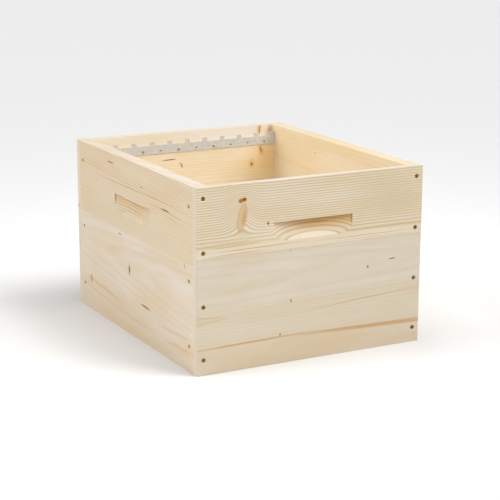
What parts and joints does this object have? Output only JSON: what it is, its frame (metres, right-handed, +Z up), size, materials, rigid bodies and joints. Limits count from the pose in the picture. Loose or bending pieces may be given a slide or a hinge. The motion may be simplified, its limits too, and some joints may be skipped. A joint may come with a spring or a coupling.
{
  "type": "hive body",
  "caption": "Open wooden hive body with rabbeted corners, milled handholds, and toothed steel spacer strips that hold hanging frames.",
  "frame": {"origin": "centre of the box's outline at its bottom edge", "axes": "+X along the end walls that carry the frame lugs, +Y along the hanging frames from the front wall to the back wall, +Z up"},
  "size_m": [0.43, 0.5, 0.312],
  "materials": {
    "spruce_front": "planed, bare",
    "spruce_back": "planed, bare",
    "spruce_left": "planed, bare",
    "spruce_right": "planed, bare",
    "galvanised_steel": "matt hot-dip zinc",
    "yellow_zinc_steel": "yellow chromated zinc",
    "bright_steel": "bright drawn wire"
  },
  "bodies": {
    "root": {"front_lower_board": "spruce_front", "front_upper_board": "spruce_front", "back_lower_board": "spruce_back", "back_upper_board": "spruce_back", "left_lower_board": "spruce_left", "left_upper_board": "spruce_left", "right_lower_board": "spruce_right", "right_upper_board": "spruce_right", "front_spacer_strip": "galvanised_steel", "back_spacer_strip": "galvanised_steel", "screw_front_left_1": "yellow_zinc_steel", "screw_front_left_2": "yellow_zinc_steel", "screw_front_left_3": "yellow_zinc_steel", "screw_front_left_4": "yellow_zinc_steel", "screw_front_right_1": "yellow_zinc_steel", "screw_front_right_2": "yellow_zinc_steel", "screw_front_right_3": "yellow_zinc_steel", "screw_front_right_4": "yellow_zinc_steel", "screw_back_right_1": "yellow_zinc_steel", "screw_back_right_2": "yellow_zinc_steel", "screw_back_right_3": "yellow_zinc_steel", "screw_back_right_4": "yellow_zinc_steel", "screw_back_left_1": "yellow_zinc_steel", "screw_back_left_2": "yellow_zinc_steel", "screw_back_left_3": "yellow_zinc_steel", "screw_back_left_4": "yellow_zinc_steel", "nail_left_back_1": "bright_steel", "nail_left_back_2": "bright_steel", "nail_left_back_3": "bright_steel", "nail_left_front_1": "bright_steel", "nail_left_front_2": "bright_steel", "nail_left_front_3": "bright_steel", "nail_right_front_1": "bright_steel", "nail_right_front_2": "bright_steel", "nail_right_front_3": "bright_steel", "nail_right_back_1": "bright_steel", "nail_right_back_2": "bright_steel", "nail_right_back_3": "bright_steel", "tack_front_1": "bright_steel", "tack_front_3": "bright_steel", "tack_front_5": "bright_steel", "tack_front_7": "bright_steel", "tack_back_1": "bright_steel", "tack_back_3": "bright_steel", "tack_back_5": "bright_steel", "tack_back_7": "bright_steel"}
  },
  "joints": []
}
